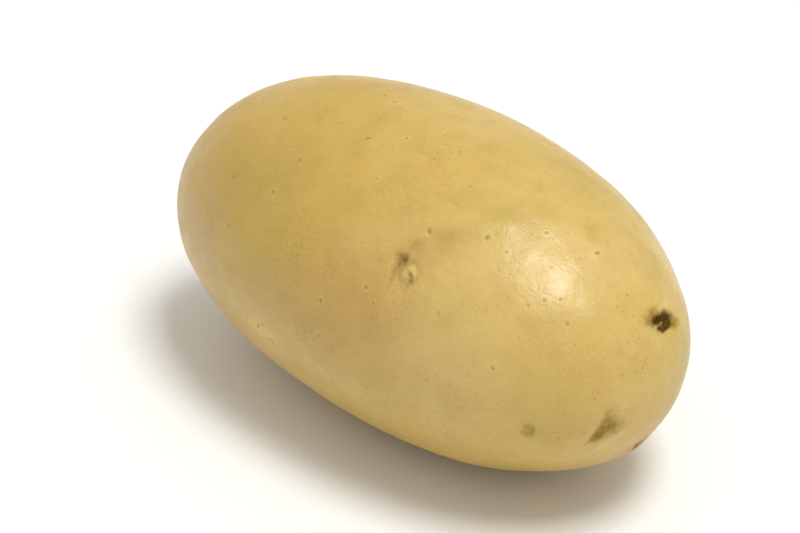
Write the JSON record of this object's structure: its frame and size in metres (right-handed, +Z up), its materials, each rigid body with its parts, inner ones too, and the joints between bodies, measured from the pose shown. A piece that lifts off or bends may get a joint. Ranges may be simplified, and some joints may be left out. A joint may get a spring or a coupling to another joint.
{
  "type": "potato",
  "caption": "Whole long oval potato with smooth yellow skin, shallow eyes under curved brows and small lenticels, lying on its side on a small flat spot.",
  "frame": {"origin": "centre of the tuber's bounding box in plan, on the plane of the flat spot that it rests on", "axes": "+X along the tuber to its rose end, where the eyes crowd together; -X to the heel, where the stolon was; +Z up, away from the flat spot"},
  "size_m": [0.0908, 0.05, 0.046],
  "materials": {
    "skin": "satin"
  },
  "bodies": {
    "root": {"potato": "skin"}
  },
  "joints": []
}
